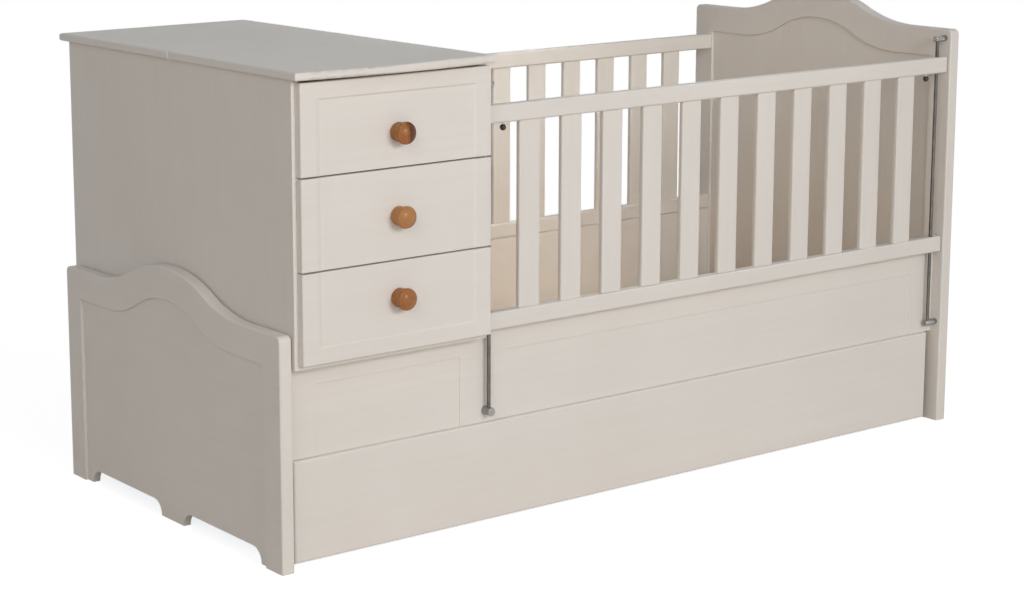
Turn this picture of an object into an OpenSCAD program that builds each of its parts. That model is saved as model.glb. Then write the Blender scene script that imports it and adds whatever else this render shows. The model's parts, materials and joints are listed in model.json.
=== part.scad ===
// Convertible child bed: crib section with a drop side, drawer chest over the foot end, roll-out drawer underneath.
// Millimetres, +Z up. Origin on the floor in the middle of the overall outline, +X towards the high headboard, -Y to the front.

/* [Overall] */
// Length over both end boards
bed_l = 1858; // [1780:1:1960]
// Depth of the end boards, front to back
board_w = 840; // [800:1:900]
// Thickness of the end boards
board_t = 28; // [24:0.5:34]

/* [End boards] */
// Height of the flat shoulders of the footboard
foot_shoulder_z = 465; // [455:1:490]
// Height of the flat shoulders of the headboard
head_shoulder_z = 918; // [905:1:960]
// Rise of the wave above the shoulders
wave_rise = 65; // [45:1:80]
// Half width of the wave
wave_half = 290; // [250:1:330]
// Radius of the upper corners and depth of the rounded border
corner_r = 12; // [8:0.5:16]
// Edge rounding of the end boards
board_edge_r = 4; // [2:0.5:6]
// Depth of the routed field on each face
field_depth = 6; // [3:0.5:8]
// Width of the plain border beside the routed field
stile_w = 60; // [50:1:80]
// Drop from the board's shoulder to the field's shoulder
field_drop = 64; // [50:1:90]
// Rise of the field's wave
field_rise = 62; // [40:1:70]
// Half width of the field's wave
field_half = 240; // [200:1:280]
// Width of the front and rear foot at the floor
foot_w = 84; // [70:1:110]
// Width of the middle foot at the floor
mid_foot_w = 88; // [70:1:110]
// Height of the cut-outs between the feet
foot_cut_h = 30; // [20:1:40]

/* [Lower panels] */
// Setback of the front panel from the front edges of the end boards
front_panel_y = 30; // [28:0.5:36]
// Thickness of the front and back panel
panel_t = 18; // [16:0.5:22]
// Underside of the front panel, just above the roll-out drawer
front_panel_z = 212; // [210:1:220]
// Underside of the back panel
back_panel_z = 80; // [60:1:120]
// Top of the back panel and seat of the chest
seat_z = 396; // [392:0.5:404]
// Extra height of the front panel beside the chest
panel_step = 16; // [8:1:22]
// Depth of the panel's routed fields
panel_field_depth = 2.5; // [1.5:0.5:4]
// Border between the panel's ends and its fields
panel_border = 74; // [60:1:90]
// Top border of the fields
panel_top_border = 42; // [30:1:60]
// Distance from the short field's right end to the chest's right side
field_split_inset = 38; // [28:1:52]
// Width of the post between both fields
field_split_w = 118; // [100:1:130]
// Setback of the back side from the rear edges of the end boards
back_inset = 58; // [50:1:80]

/* [Slatted base] */
// Height of the top of the base slats
base_top_z = 212; // [208:1:214]
// Base slat width
base_slat_w = 72; // [64:1:80]
// Base slat thickness
base_slat_t = 12; // [10:0.5:16]
// Number of base slats
base_slat_n = 14; // [14:1:14]
// Width of the bearer ledges under the slat ends
ledge_w = 30; // [24:1:40]
// Height of the bearer ledges
ledge_h = 20; // [16:1:24]
// Height of the front bearer's lip above its ledge
lip_h = 30; // [24:1:40]
// Thickness of that lip
lip_t = 12; // [10:0.5:16]

/* [Drop side] */
// Setback of the drop side's front face
side_y = 6; // [4:0.5:8]
// Thickness of both rails
rail_t = 22; // [20:0.5:24]
// Height of both rails
rail_h = 37; // [34:0.5:44]
// Underside of the lower rail, side raised
side_bottom_z = 404; // [400:1:412]
// Top of the upper rail, side raised
side_top_z = 857; // [830:1:870]
// Clearance between the rail ends and the chest or headboard
side_end_gap = 3.5; // [2:0.5:6]
// Slat width
slat_w = 53; // [48:0.5:56]
// Slat thickness
slat_t = 13; // [11:0.5:14]
// Number of slats in the drop side
slat_n = 11; // [11:1:11]
// Distance of the first slat's middle from the chest
slat_left_inset = 124; // [116:1:130]
// Distance of the last slat's middle from the headboard
slat_right_inset = 130; // [124:1:136]
// Depth of the mortises that hold the slat ends
mortise = 12; // [8:1:16]
// Clearance around a slat end in its mortise
mortise_gap = 0.1; // [0.05:0.05:0.2]
// Edge rounding of the rails
rail_r = 5; // [3:0.5:7]
// Edge rounding of the slats
slat_r = 4; // [2:0.5:5.5]

/* [Rods and fittings] */
// Rod diameter
rod_d = 8; // [8:0.5:10]
// Distance of the left rod from the chest
rod_left_inset = 25; // [22:0.5:30]
// Distance of the right rod from the headboard's inner face
rod_right_inset = 26; // [23:0.5:30]
// Setback of both rods
rod_y = 17; // [16:0.5:18]
// Height of the lower fittings
rod_low_z = 237; // [228:1:244]
// Height of the upper fittings
rod_high_z = 898; // [880:1:905]
// Fitting diameter
fitting_d = 14; // [13:0.5:17]
// Diameter of the left rod's lower fitting
foot_fitting_d = 18; // [14:0.5:19]
// Length of a fitting past its rod's middle
fitting_past = 9; // [7.5:0.5:12]
// Depth of a rod's end past the middle of its fitting
rod_seat = 4; // [3:0.5:5]
// Diameter of a fitting's spigot
spigot_d = 8; // [6:0.5:10]
// Length of a fitting's spigot
spigot_l = 10; // [8:0.5:12]
// Clearance around spigots, dowels and rod ends, radial
fit_gap = 0.05; // [0.02:0.01:0.1]
// Outside diameter of the guide bushings
bushing_d = 13; // [12.5:0.5:16]
// Running clearance of the rods in the bushings, radial
rod_gap = 0.3; // [0.3:0.05:0.5]
// Gap left over the lower fittings at the end of the travel
stop_gap = 0.6; // [0.4:0.1:3]

/* [Latches] */
// Latch bolt diameter
bolt_d = 8; // [7:0.5:9]
// Diameter of the bolt's nose
nose_d = 4; // [3:0.5:4.5]
// Length of the bolt's nose
nose_l = 3; // [2.5:0.5:4]
// Radial clearance of the bolt in its bore
bolt_gap = 0.35; // [0.3:0.05:0.5]
// Gap between the bolt's nose and its rod
nose_gap = 0.4; // [0.3:0.1:0.8]
// Distance of the ball knob from its rod
ball_inset = 35; // [30:1:40]
// Ball knob diameter
ball_d = 13; // [11:0.5:15]
// Gap between the ball and the rail
ball_gap = 3.5; // [2:0.5:6]
// Pin diameter between bolt and ball
pin_d = 5; // [4:0.5:6]
// Pull of the latch
latch_travel = 6; // [5:0.5:8]
// Length of the latch spring
spring_l = 25; // [22:1:30]
// Wire diameter of the latch spring
spring_wire = 0.9; // [0.7:0.1:1.1]
// Turns of the latch spring
spring_turns = 7; // [6:1:8]

/* [Chest] */
// Gap between the footboard and the chest's left side
chest_gap = 3; // [2:0.5:4]
// Width of the chest's carcass
chest_w = 453; // [440:1:456]
// Thickness of the carcass boards
carcass_t = 16; // [15:0.5:19]
// Reach of the carcass in front of the end boards
chest_front = 5; // [3:0.5:8]
// Reach of the carcass behind the end boards
chest_back = 12; // [8:0.5:16]
// Height of the underside of the chest top
chest_top_z = 946; // [930:1:960]
// Thickness of the chest top
top_t = 16; // [14:0.5:20]
// Reach of the top past the carcass at its left
top_left = 11; // [6:0.5:14]
// Reach of the top in front of the carcass, at its corners
top_front = 31; // [24:1:36]
// Extra reach of the top in the middle of its bowed front edge
top_bow = 14; // [8:1:20]
// Reach of the top behind the carcass
top_back = 22; // [10:1:26]
// Edge rounding of the top
top_r = 5; // [3:0.5:7]
// Thickness of the back sheets
sheet_t = 4; // [3:0.5:6]
// Half the gap between both back sheets
sheet_gap = 0.2; // [0.1:0.05:0.5]

/* [Drawers] */
// Gap between two drawer fronts
front_gap = 3; // [2:0.5:5]
// Thickness of the drawer fronts
front_t = 17; // [15:0.5:20]
// Carcass edge left bare beside the fronts
front_reveal = 8; // [6:0.5:12]
// Height of the lowest drawer front above the seat
front_lift = 10; // [8:0.5:14]
// Gap between the highest drawer front and the chest top
front_under = 6; // [3:0.5:10]
// Gap between the drawer fronts and the carcass
front_seat = 0.5; // [0.3:0.1:1]
// Edge rounding of the drawer fronts
front_r = 2.5; // [1.5:0.5:4]
// Distance of the routed field from the outer edges of the fronts
moulding_inset = 35; // [28:1:44]
// Width of the sloping edge of that field
moulding_w = 9; // [6:0.5:12]
// Depth of that field
moulding_d = 2.5; // [1.5:0.25:4]
// Thickness of the drawer sides
box_t = 13; // [12:0.5:14]
// Gap between the drawer sides and the carcass
box_gap = 2; // [1.5:0.5:3]
// Reach of a drawer front above its drawer sides
box_drop = 26; // [22:1:40]
// Height of a drawer side above its front's lower edge
box_lift = 14; // [12:0.5:18]
// Gap behind the drawer sides
box_back_gap = 30; // [10:1:60]
// Thickness of the drawer bottoms
bottom_t = 4; // [3:0.5:6]
// Depth of the grooves for bottoms and backs
groove = 6; // [4:0.5:6]
// Height of the runner bars
runner_h = 16; // [12:0.5:18]
// Depth of a runner bar inside its groove
runner_in = 6; // [4:0.5:6.5]
// Clearance between runner bar and groove
runner_gap = 0.4; // [0.3:0.05:0.8]
// Knob diameter
knob_d = 44; // [36:0.5:46]
// Projection of a knob from its drawer front
knob_out = 36; // [30:0.5:40]
// Distance of the highest knob below the middle of its front
knob_high_drop = 21; // [10:1:30]
// Distance of the middle knob below the middle of its front
knob_mid_drop = 3; // [0:1:15]
// Distance of the lowest knob above the middle of its front
knob_low_rise = 17; // [5:1:30]
// Drawer travel
drawer_travel = 300; // [250:5:320]

/* [Roll-out drawer] */
// Gap between its front and the footboard
roll_left_gap = 15; // [10:1:22]
// Gap between its front and the headboard
roll_right_gap = 20; // [10:1:26]
// Setback of its front
roll_y = 22; // [18:0.5:24]
// Thickness of its front
roll_t = 20; // [16:0.5:22]
// Underside of its front
roll_z = 8; // [6:0.5:14]
// Top of its front
roll_top_z = 207; // [200:0.5:208]
// Thickness of its sides and back
roll_side_t = 16; // [14:0.5:19]
// Gap to the back panel, its stop when pushed in
roll_stop_gap = 0.3; // [0.3:0.1:4]
// Underside of its sides
roll_side_z = 30; // [26:1:36]
// Top of its sides
roll_side_top = 150; // [130:1:165]
// Thickness of its base panel
roll_base_t = 8; // [6:0.5:10]
// Width of its bearers
roll_bearer_w = 44; // [40:1:60]
// Underside of its bearers
roll_bearer_z = 12; // [10:0.5:14]
// Height of its bearers
roll_bearer_h = 46; // [44:1:52]
// Wheel diameter
wheel_d = 50; // [46:1:52]
// Wheel width
wheel_w = 22; // [18:0.5:24]
// Axle diameter
axle_d = 8; // [7:0.5:10]
// Radial running clearance of the wheels
axle_gap = 0.1; // [0.05:0.01:0.1]
// Distance of the wheels from the ends of the front
wheel_inset_x = 157; // [120:1:220]
// Distance of the front wheels behind the front
wheel_front_y = 68; // [55:1:100]
// Distance of the rear wheels in front of the back
wheel_rear_y = 60; // [45:1:90]
// Travel of the roll-out drawer
roll_travel = 600; // [500:5:640]

/* [Dowels] */
// Dowel diameter
dowel_d = 8; // [6:0.5:10]
// Dowel length
dowel_l = 32; // [26:1:32]

/* [Hidden] */
$fn = 64;
e = 0.01;
blank_z = head_shoulder_z;
// Derived sizes
mid_x = bed_l / 2;
head_in_x = bed_l - board_t;
chest_x = board_t + chest_gap;
chest_r = chest_x + chest_w;
field_split_x = chest_r - field_split_inset;
back_side_y = board_w - back_inset;
rod_left_x = chest_r + rod_left_inset;
slat_first_x = chest_r + slat_left_inset;
slat_pitch = (head_in_x - slat_right_inset - slat_first_x) / (slat_n - 1);
chest_y0 = -chest_front;
chest_y1 = board_w + chest_back;
seam_y = (chest_y0 + chest_y1) / 2;
front_y = chest_y0 - front_seat - front_t;
knob_tip_y = front_y - knob_out;
top_back_y = chest_y1 + top_back;
mid_y = (knob_tip_y + top_back_y) / 2;
panel_back_y = front_panel_y + panel_t;
side_x0 = chest_r + side_end_gap;
side_x1 = head_in_x - side_end_gap;
rod_right_x = head_in_x - rod_right_inset;
latch_z = side_top_z - rail_h / 2;
bolt_bore_d = bolt_d + 2 * bolt_gap;
nose_bore_d = nose_d + 2 * bolt_gap;
nose_x = rod_d / 2 + nose_gap;
bolt_l = ball_inset + 6 - nose_x;
drop_travel = side_bottom_z - rod_low_z - max(fitting_d, foot_fitting_d) / 2 - stop_gap;
field_x0 = chest_x + front_reveal;
knob_x = (field_x0 + chest_r) / 2;
knob_shifts = [-knob_high_drop, -knob_mid_drop, knob_low_rise];
front_h = (chest_top_z - seat_z - front_lift - front_under - 2 * front_gap) / 3;
box_h = front_h - box_lift - box_drop;
box_l = seam_y - sheet_t - box_back_gap - front_y - front_t;
inner_x0 = chest_x + carcass_t;
inner_x1 = chest_r - carcass_t;
box_x0 = inner_x0 + box_gap;
box_x1 = inner_x1 - box_gap;
roll_x = board_t + roll_left_gap;
roll_r = head_in_x - roll_right_gap;
roll_back_y = back_side_y - roll_stop_gap;
roll_in_x0 = roll_x + 20 + roll_side_t;
roll_in_x1 = roll_r - 20 - roll_side_t;
axle_z = wheel_d / 2;
wheel_xs = [roll_x + wheel_inset_x, roll_r - wheel_inset_x];
wheel_ys = [roll_y + roll_t + wheel_front_y, roll_back_y - roll_side_t - wheel_rear_y];
back_rail_z = side_top_z - rail_h - 11;
base_slat_gap = (head_in_x - board_t - base_slat_n * base_slat_w) / base_slat_n;

// Bed frame to row frame: the middle of the overall outline comes to the origin
module put() {
    translate([-mid_x, -mid_y, 0]) children();
}

// Box from one corner to the other
module block(a, b) {
    translate(a) cube(b - a);
}

// Cylinder along X from x0 to x1
module rod_x(x0, x1, y, z, d) {
    translate([x0, y, z]) rotate([0, 90, 0]) cylinder(d = d, h = x1 - x0);
}

// Cylinder along Y from y0 to y1
module rod_along_y(x, y0, y1, z, d) {
    translate([x, y0, z]) rotate([-90, 0, 0]) cylinder(d = d, h = y1 - y0);
}

// Rectangle with rounded corners
module round_rect(w, h, r) {
    translate([r, 0]) square([w - 2 * r, h]);
    translate([0, r]) square([w, h - 2 * r]);
    for (x = [r, w - r]) for (y = [r, h - r]) translate([x, y]) circle(r = r);
}

// Bar along X with rounded long edges
module bar_x(x0, x1, y0, y1, z0, z1, r) {
    translate([x0, y0, z0]) rotate([90, 0, 90]) linear_extrude(x1 - x0) round_rect(y1 - y0, z1 - z0, r);
}

// Upright bar with rounded long edges
module bar_z(x0, x1, y0, y1, z0, z1, r) {
    translate([x0, y0, z0]) linear_extrude(z1 - z0) round_rect(x1 - x0, y1 - y0, r);
}

// Board standing across Y whose front edges are rounded and whose back is flat
module front_board(x0, x1, y0, y1, z0, z1, r) {
    d = y1 - y0;
    intersection() {
        difference() {
            translate([x0, y0, z0]) linear_extrude(z1 - z0) round_rect(x1 - x0, d + 2 * r, r);
            block([x0 - 1, y1, z0 - 1], [x1 + 1, y1 + 3 * r, z1 + 1]);
        }
        translate([x0, y0, z0]) rotate([90, 0, 90]) linear_extrude(x1 - x0) round_rect(d + 2 * r, z1 - z0, r);
    }
}

// Geometry of the wave: two tangent arcs of one radius
function wave_r(half, rise) = (half * half + rise * rise) / (4 * rise);
function wave_a(half, rise) = asin(half / 2 / wave_r(half, rise));

// Area under a wave, from a lower line up
module wave_area(x0, x1, z0, shoulder, rise, half) {
    xc = board_w / 2;
    r = wave_r(half, rise);
    a = wave_a(half, rise);
    cz = shoulder + rise - r;
    px = r * sin(a);
    pz = cz + r * cos(a);
    difference() {
        polygon([[x0, z0], [x1, z0], [x1, shoulder], [xc + half, shoulder], [xc + px, pz], [xc - px, pz],
            [xc - half, shoulder], [x0, shoulder]]);
        for (s = [-1, 1]) intersection() {
            translate([xc + s * half, shoulder + r]) circle(r = r, $fn = 96);
            polygon([[xc + s * px, pz], [xc + s * px, shoulder - 20], [xc + s * half, shoulder - 20],
                [xc + s * half, shoulder + rise]]);
        }
    }
    intersection() {
        translate([xc, cz]) circle(r = r, $fn = 96);
        polygon([[xc, cz], [xc + 2 * px, cz + 2 * (pz - cz)], [xc - 2 * px, cz + 2 * (pz - cz)]]);
    }
}

// Core of an end board, whose edges run inside the rounded border
module board_core(z0, shoulder) {
    xc = board_w / 2;
    r = wave_r(wave_half, wave_rise);
    a = wave_a(wave_half, wave_rise);
    d = corner_r * 0.55;
    cz = shoulder + wave_rise - r;
    right = [[board_w - d, z0], [board_w - d, shoulder - d], [xc + wave_half + 30, shoulder - d],
        for (k = [0.45, 0.9]) [xc + wave_half - (r + d) * sin(k * a), shoulder + r - (r + d) * cos(k * a)],
        for (k = [0.9, 0.45]) [xc + (r - d) * sin(k * a), cz + (r - d) * cos(k * a)]];
    left = [for (i = [len(right) - 1 : -1 : 0]) [board_w - right[i][0], right[i][1]]];
    polygon(concat(right, [[xc, cz + r - d]], left));
}

// Section of the rounded border: depth along x, board thickness along y, rounded at the far end
module border_section(depth) {
    square([depth - board_edge_r, board_t]);
    translate([0, board_edge_r]) square([depth, board_t - 2 * board_edge_r]);
    for (y = [board_edge_r, board_t - board_edge_r]) translate([depth - board_edge_r, y]) circle(r = board_edge_r);
}

// Rounded border along a convex arc
module border_convex(cx, cz, r, a0, a1) {
    translate([cx, cz, 0]) rotate([0, 0, a0]) rotate_extrude(angle = a1 - a0, $fn = 96)
        translate([r - corner_r - 1, 0]) border_section(corner_r + 1);
}

// The same section, rounded at its near end
module border_section_in(depth) {
    translate([board_edge_r, 0]) square([depth - board_edge_r, board_t]);
    translate([0, board_edge_r]) square([depth, board_t - 2 * board_edge_r]);
    for (y = [board_edge_r, board_t - board_edge_r]) translate([board_edge_r, y]) circle(r = board_edge_r);
}

// Rounded border along a concave arc
module border_concave(cx, cz, r, a0, a1) {
    translate([cx, cz, 0]) rotate([0, 0, a0]) rotate_extrude(angle = a1 - a0, $fn = 96)
        translate([r, 0]) border_section_in(corner_r + 1);
}

// Blank of an end board lying flat, shoulders at blank_z: x is the bed's depth, y the height, z the thickness
module board_blank() {
    c = corner_r;
    xc = board_w / 2;
    r = wave_r(wave_half, wave_rise);
    a = wave_a(wave_half, wave_rise);
    linear_extrude(board_t) board_core(-60, blank_z);
    border_convex(xc, blank_z + wave_rise - r, r, 90 - a, 90 + a);
    border_concave(xc - wave_half, blank_z + r, r, -90, -90 + a);
    border_concave(xc + wave_half, blank_z + r, r, -90 - a, -90);
    for (m = [0, 1]) translate([m * board_w, 0, 0]) mirror([m, 0, 0]) {
        translate([c + 1, -60, 0]) rotate([-90, 0, 0]) mirror([0, 1, 0])
            linear_extrude(blank_z - c + 60) mirror([1, 0]) border_section(c + 1);
        translate([c, blank_z - c - 1, 0]) rotate([90, 0, 90])
            linear_extrude(xc - wave_half - c) border_section(c + 1);
        translate([c, blank_z - c, 0]) rotate([0, 0, 90]) rotate_extrude(angle = 90) border_section(c);
    }
}

// End board lying flat
module flat_board(shoulder) {
    xc = board_w / 2;
    difference() {
        translate([0, shoulder - blank_z, 0]) board_blank();
        translate([-1, -blank_z, -1]) cube([board_w + 2, blank_z, board_t + 2]);
        // Routed field on both faces, open at the bottom
        for (z = [-1, board_t - field_depth]) translate([0, 0, z])
            linear_extrude(field_depth + 1)
                wave_area(stile_w, board_w - stile_w, -1, shoulder - field_drop, field_rise, field_half);
        // Cut-outs between the feet
        for (m = [0, 1]) translate([m * board_w, 0, -1]) mirror([m, 0, 0]) linear_extrude(board_t + 2) {
            x1 = xc - mid_foot_w / 2;
            translate([foot_w + foot_cut_h, 0]) square([x1 - foot_w - 2 * foot_cut_h, foot_cut_h]);
            for (x = [foot_w, x1 - foot_cut_h]) intersection() {
                translate([x == foot_w ? x + foot_cut_h : x, 0]) circle(r = foot_cut_h);
                translate([x, 0]) square(foot_cut_h);
            }
        }
    }
}

// Middles of the dowels: x of the joint plane, y, z
dowel_spots = concat(
    [for (z = [front_panel_z + 40, seat_z - 36]) [board_t, front_panel_y + panel_t / 2, z]],
    [for (z = [front_panel_z + 40, seat_z - 36]) [head_in_x, front_panel_y + panel_t / 2, z]],
    [for (x = [board_t, head_in_x]) for (z = [back_panel_z + 40, (back_panel_z + seat_z) / 2, seat_z - 36])
        [x, back_side_y + panel_t / 2, z]],
    [for (x = [chest_r, head_in_x]) for (z = [seat_z + rail_h / 2, back_rail_z + rail_h / 2]) [x, back_side_y + rail_t / 2, z]]);

// Dowels, thinner by the bore clearance or not; longer by extra at each end
module dowel_set(d, extra) {
    for (p = dowel_spots) {
        // A dowel goes shallower into the thinner chest side
        depth = p[0] == chest_r ? carcass_t - 4 : dowel_l / 2;
        x0 = p[0] == chest_r ? p[0] - depth : p[0] - dowel_l / 2;
        rod_x(x0 - extra, p[0] + dowel_l / 2 + extra, p[1], p[2], d);
    }
}

module dowel_bores() {
    dowel_set(dowel_d + 2 * fit_gap, 0.5);
}

module dowels() {
    color([0.80, 0.66, 0.45]) put() dowel_set(dowel_d, 0);
}

module footboard() {
    color([0.87, 0.84, 0.80]) put() difference() {
        rotate([90, 0, 90]) flat_board(foot_shoulder_z);
        dowel_bores();
    }
}

module headboard() {
    color([0.87, 0.84, 0.80]) put() difference() {
        translate([head_in_x, 0, 0]) rotate([90, 0, 90]) flat_board(head_shoulder_z);
        dowel_bores();
        for (z = [rod_low_z, rod_high_z])
            rod_x(head_in_x - 1, head_in_x + spigot_l + 0.5, rod_y, z, spigot_d + 2 * fit_gap);
    }
}

// Lower front panel: two routed fields, a post between them that carries the left rod
module front_panel() {
    color([0.85, 0.81, 0.76]) put() difference() {
        union() {
            block([board_t, front_panel_y, front_panel_z], [head_in_x, panel_back_y, seat_z]);
            block([chest_r + 1, front_panel_y, seat_z - 1], [head_in_x, panel_back_y, seat_z + panel_step]);
        }
        block([board_t + panel_border, front_panel_y - 1, front_panel_z - 1],
            [field_split_x, front_panel_y + panel_field_depth, seat_z - panel_top_border]);
        block([field_split_x + field_split_w, front_panel_y - 1, front_panel_z - 1],
            [head_in_x - panel_border, front_panel_y + panel_field_depth, seat_z - panel_top_border]);
        rod_along_y(rod_left_x, front_panel_y - 1, front_panel_y + spigot_l + 0.5, rod_low_z, spigot_d + 2 * fit_gap);
        dowel_bores();
    }
}

module back_panel() {
    color([0.78, 0.73, 0.66]) put() difference() {
        block([board_t, back_side_y, back_panel_z], [head_in_x, back_side_y + panel_t, seat_z]);
        dowel_bores();
    }
}

// Slats of a side as one group of uprights, grown by gap for the mortises
module slat_group(xs, y0, z0, z1, gap) {
    for (x = xs) bar_z(x - slat_w / 2 - gap, x + slat_w / 2 + gap, y0 - gap, y0 + slat_t + gap, z0, z1, slat_r + gap);
}

drop_slat_xs = [for (i = [0 : slat_n - 1]) slat_first_x + i * slat_pitch];
slat_y = side_y + (rail_t - slat_t) / 2;
back_slat_y = back_side_y + (rail_t - slat_t) / 2;

module back_top_rail() {
    color([0.85, 0.81, 0.76]) put() difference() {
        bar_x(chest_r, head_in_x, back_side_y, back_side_y + rail_t, back_rail_z, back_rail_z + rail_h, rail_r);
        slat_group(drop_slat_xs, back_slat_y, back_rail_z - 1, back_rail_z + mortise + 0.3, mortise_gap);
        dowel_bores();
    }
}

module back_bottom_rail() {
    color([0.85, 0.81, 0.76]) put() difference() {
        bar_x(chest_r, head_in_x, back_side_y, back_side_y + rail_t, seat_z, seat_z + rail_h, rail_r);
        slat_group(drop_slat_xs, back_slat_y, seat_z + rail_h - mortise - 0.3, seat_z + rail_h + 1, mortise_gap);
        dowel_bores();
    }
}

module back_slats() {
    color([0.86, 0.82, 0.77]) put()
        slat_group(drop_slat_xs, back_slat_y, seat_z + rail_h - mortise, back_rail_z + mortise, 0);
}

// Rebated rail on the back of the front panel: a ledge for the slats and a lip
module front_bearer() {
    zb = base_top_z - base_slat_t;
    color([0.80, 0.66, 0.45]) put() {
        block([board_t, panel_back_y, zb - ledge_h], [head_in_x, panel_back_y + ledge_w, zb]);
        block([board_t, panel_back_y, zb - e], [head_in_x, panel_back_y + lip_t, zb + lip_h]);
    }
}

module back_ledger() {
    zb = base_top_z - base_slat_t;
    color([0.80, 0.66, 0.45]) put()
        block([board_t, back_side_y - ledge_w, zb - ledge_h], [head_in_x, back_side_y, zb]);
}

module base_slats() {
    zb = base_top_z - base_slat_t;
    color([0.80, 0.66, 0.45]) put() for (i = [0 : base_slat_n - 1]) {
        x = board_t + base_slat_gap / 2 + i * (base_slat_w + base_slat_gap);
        block([x, panel_back_y + lip_t + 1, zb], [x + base_slat_w, back_side_y - 1, base_top_z]);
    }
}

// Closes the crib's foot end between the slatted base and the chest
module crib_end_panel() {
    color([0.85, 0.81, 0.76]) put()
        block([inner_x1, panel_back_y + lip_t + 0.3, base_top_z], [chest_r, back_side_y, seat_z]);
}

module rod_shape(x, s) {
    difference() {
        translate([x, rod_y, rod_low_z - rod_seat]) cylinder(d = rod_d, h = rod_high_z - rod_low_z + 2 * rod_seat);
        // Catch hole for the nose of the latch bolt
        rod_x(s > 0 ? x + 1 : x - rod_d, s > 0 ? x + rod_d : x - 1, rod_y, latch_z, nose_bore_d);
    }
}

module guide_rods() {
    color([0.62, 0.62, 0.60]) put() {
        rod_shape(rod_left_x, 1);
        rod_shape(rod_right_x, -1);
    }
}

// Fitting lying along +X from its mounting face: spigot, barrel, rounded end
module fitting(l, d = fitting_d) {
    r = d / 2;
    rotate([0, 90, 0]) rotate_extrude() {
        translate([0, -spigot_l]) square([spigot_d / 2, spigot_l + 1]);
        square([r, l - 2]);
        square([r - 2, l]);
        intersection() {
            translate([r - 2, l - 2]) circle(r = 2);
            square([r, l]);
        }
    }
}

module rod_fittings() {
    d = rod_d + 2 * fit_gap;
    color([0.60, 0.60, 0.60]) put() {
        difference() {
            translate([chest_r, rod_y, rod_high_z]) fitting(rod_left_x - chest_r + fitting_past);
            translate([rod_left_x, rod_y, rod_high_z - 20]) cylinder(d = d, h = 20 + rod_seat + 0.2);
        }
        difference() {
            translate([head_in_x, rod_y, rod_high_z]) mirror([1, 0, 0]) fitting(rod_right_inset + fitting_past);
            translate([rod_right_x, rod_y, rod_high_z - 20]) cylinder(d = d, h = 20 + rod_seat + 0.2);
        }
        difference() {
            translate([head_in_x, rod_y, rod_low_z]) mirror([1, 0, 0]) fitting(rod_right_inset + fitting_past);
            translate([rod_right_x, rod_y, rod_low_z - rod_seat - 0.2]) cylinder(d = d, h = 20 + rod_seat);
        }
        difference() {
            translate([rod_left_x, front_panel_y, rod_low_z]) rotate([0, 0, -90])
                fitting(front_panel_y - rod_y + fitting_past + 2, foot_fitting_d);
            translate([rod_left_x, rod_y, rod_low_z - rod_seat - 0.2]) cylinder(d = d, h = 20 + rod_seat);
        }
    }
}

// Drop side

module drop_top_rail() {
    z0 = side_top_z - rail_h;
    color([0.90, 0.86, 0.82]) put() difference() {
        bar_x(side_x0, side_x1, side_y, side_y + rail_t, z0, side_top_z, rail_r);
        slat_group(drop_slat_xs, slat_y, z0 - 1, z0 + mortise + 0.3, mortise_gap);
        for (x = [rod_left_x, rod_right_x])
            translate([x, rod_y, z0 - 1]) cylinder(d = bushing_d + 2 * fit_gap, h = rail_h + 2);
        // Latch bores from the rail's ends, and the slots for the pins
        rod_x(side_x0 - 1, rod_left_x + nose_x + bolt_l + spring_l, rod_y, latch_z, bolt_bore_d);
        rod_x(rod_right_x - nose_x - bolt_l - spring_l, side_x1 + 1, rod_y, latch_z, bolt_bore_d);
        for (s = [0, 1]) {
            x0 = s == 0 ? rod_left_x + ball_inset : rod_right_x - ball_inset - latch_travel;
            w = pin_d + 2 * bolt_gap;
            translate([x0 - w / 2, rod_y - w / 2, z0 - 1])
                linear_extrude(latch_z - z0 + 1) round_rect(latch_travel + w, w, w / 2 - e);
        }
    }
}

module drop_bottom_rail() {
    color([0.90, 0.86, 0.82]) put() difference() {
        bar_x(side_x0, side_x1, side_y, side_y + rail_t, side_bottom_z, side_bottom_z + rail_h, rail_r);
        slat_group(drop_slat_xs, slat_y, side_bottom_z + rail_h - mortise - 0.3, side_bottom_z + rail_h + 1, mortise_gap);
        for (x = [rod_left_x, rod_right_x])
            translate([x, rod_y, side_bottom_z - 1]) cylinder(d = bushing_d + 2 * fit_gap, h = rail_h + 2);
    }
}

module drop_slats() {
    color([0.90, 0.86, 0.82]) put()
        slat_group(drop_slat_xs, slat_y, side_bottom_z + rail_h - mortise, side_top_z - rail_h + mortise, 0);
}

// Plastic guide sleeves of the rods in both rails
module rod_bushings() {
    color([0.85, 0.84, 0.80]) put() for (x = [rod_left_x, rod_right_x]) for (z = [side_bottom_z, side_top_z - rail_h])
        difference() {
            translate([x, rod_y, z + 5]) cylinder(d = bushing_d, h = rail_h - 10);
            translate([x, rod_y, z]) cylinder(d = rod_d + 2 * rod_gap, h = rail_h);
            if (z > side_bottom_z) {
                s = x == rod_left_x ? 0 : -bushing_d;
                rod_x(x + s, x + s + bushing_d, rod_y, latch_z, nose_bore_d);
            }
        }
}

// Latches: the left one as modelled, the right one mirrored
module latch_frame(s) {
    x = s == 0 ? rod_left_x : rod_right_x;
    put() translate([x, rod_y, latch_z]) mirror([s, 0, 0]) children();
}

module latch_bolt() {
    c = 0.8;
    rotate([0, 90, 0]) translate([0, 0, nose_x]) cylinder(d1 = nose_d - 2 * c, d2 = nose_d, h = c);
    rotate([0, 90, 0]) translate([0, 0, nose_x + c]) cylinder(d = nose_d, h = nose_l);
    rotate([0, 90, 0]) translate([0, 0, nose_x + nose_l]) cylinder(d = bolt_d, h = bolt_l - nose_l);
    translate([ball_inset, 0, -rail_h / 2 - ball_gap - ball_d / 2]) cylinder(d = pin_d, h = rail_h / 2 + ball_gap + ball_d / 2);
}

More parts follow.
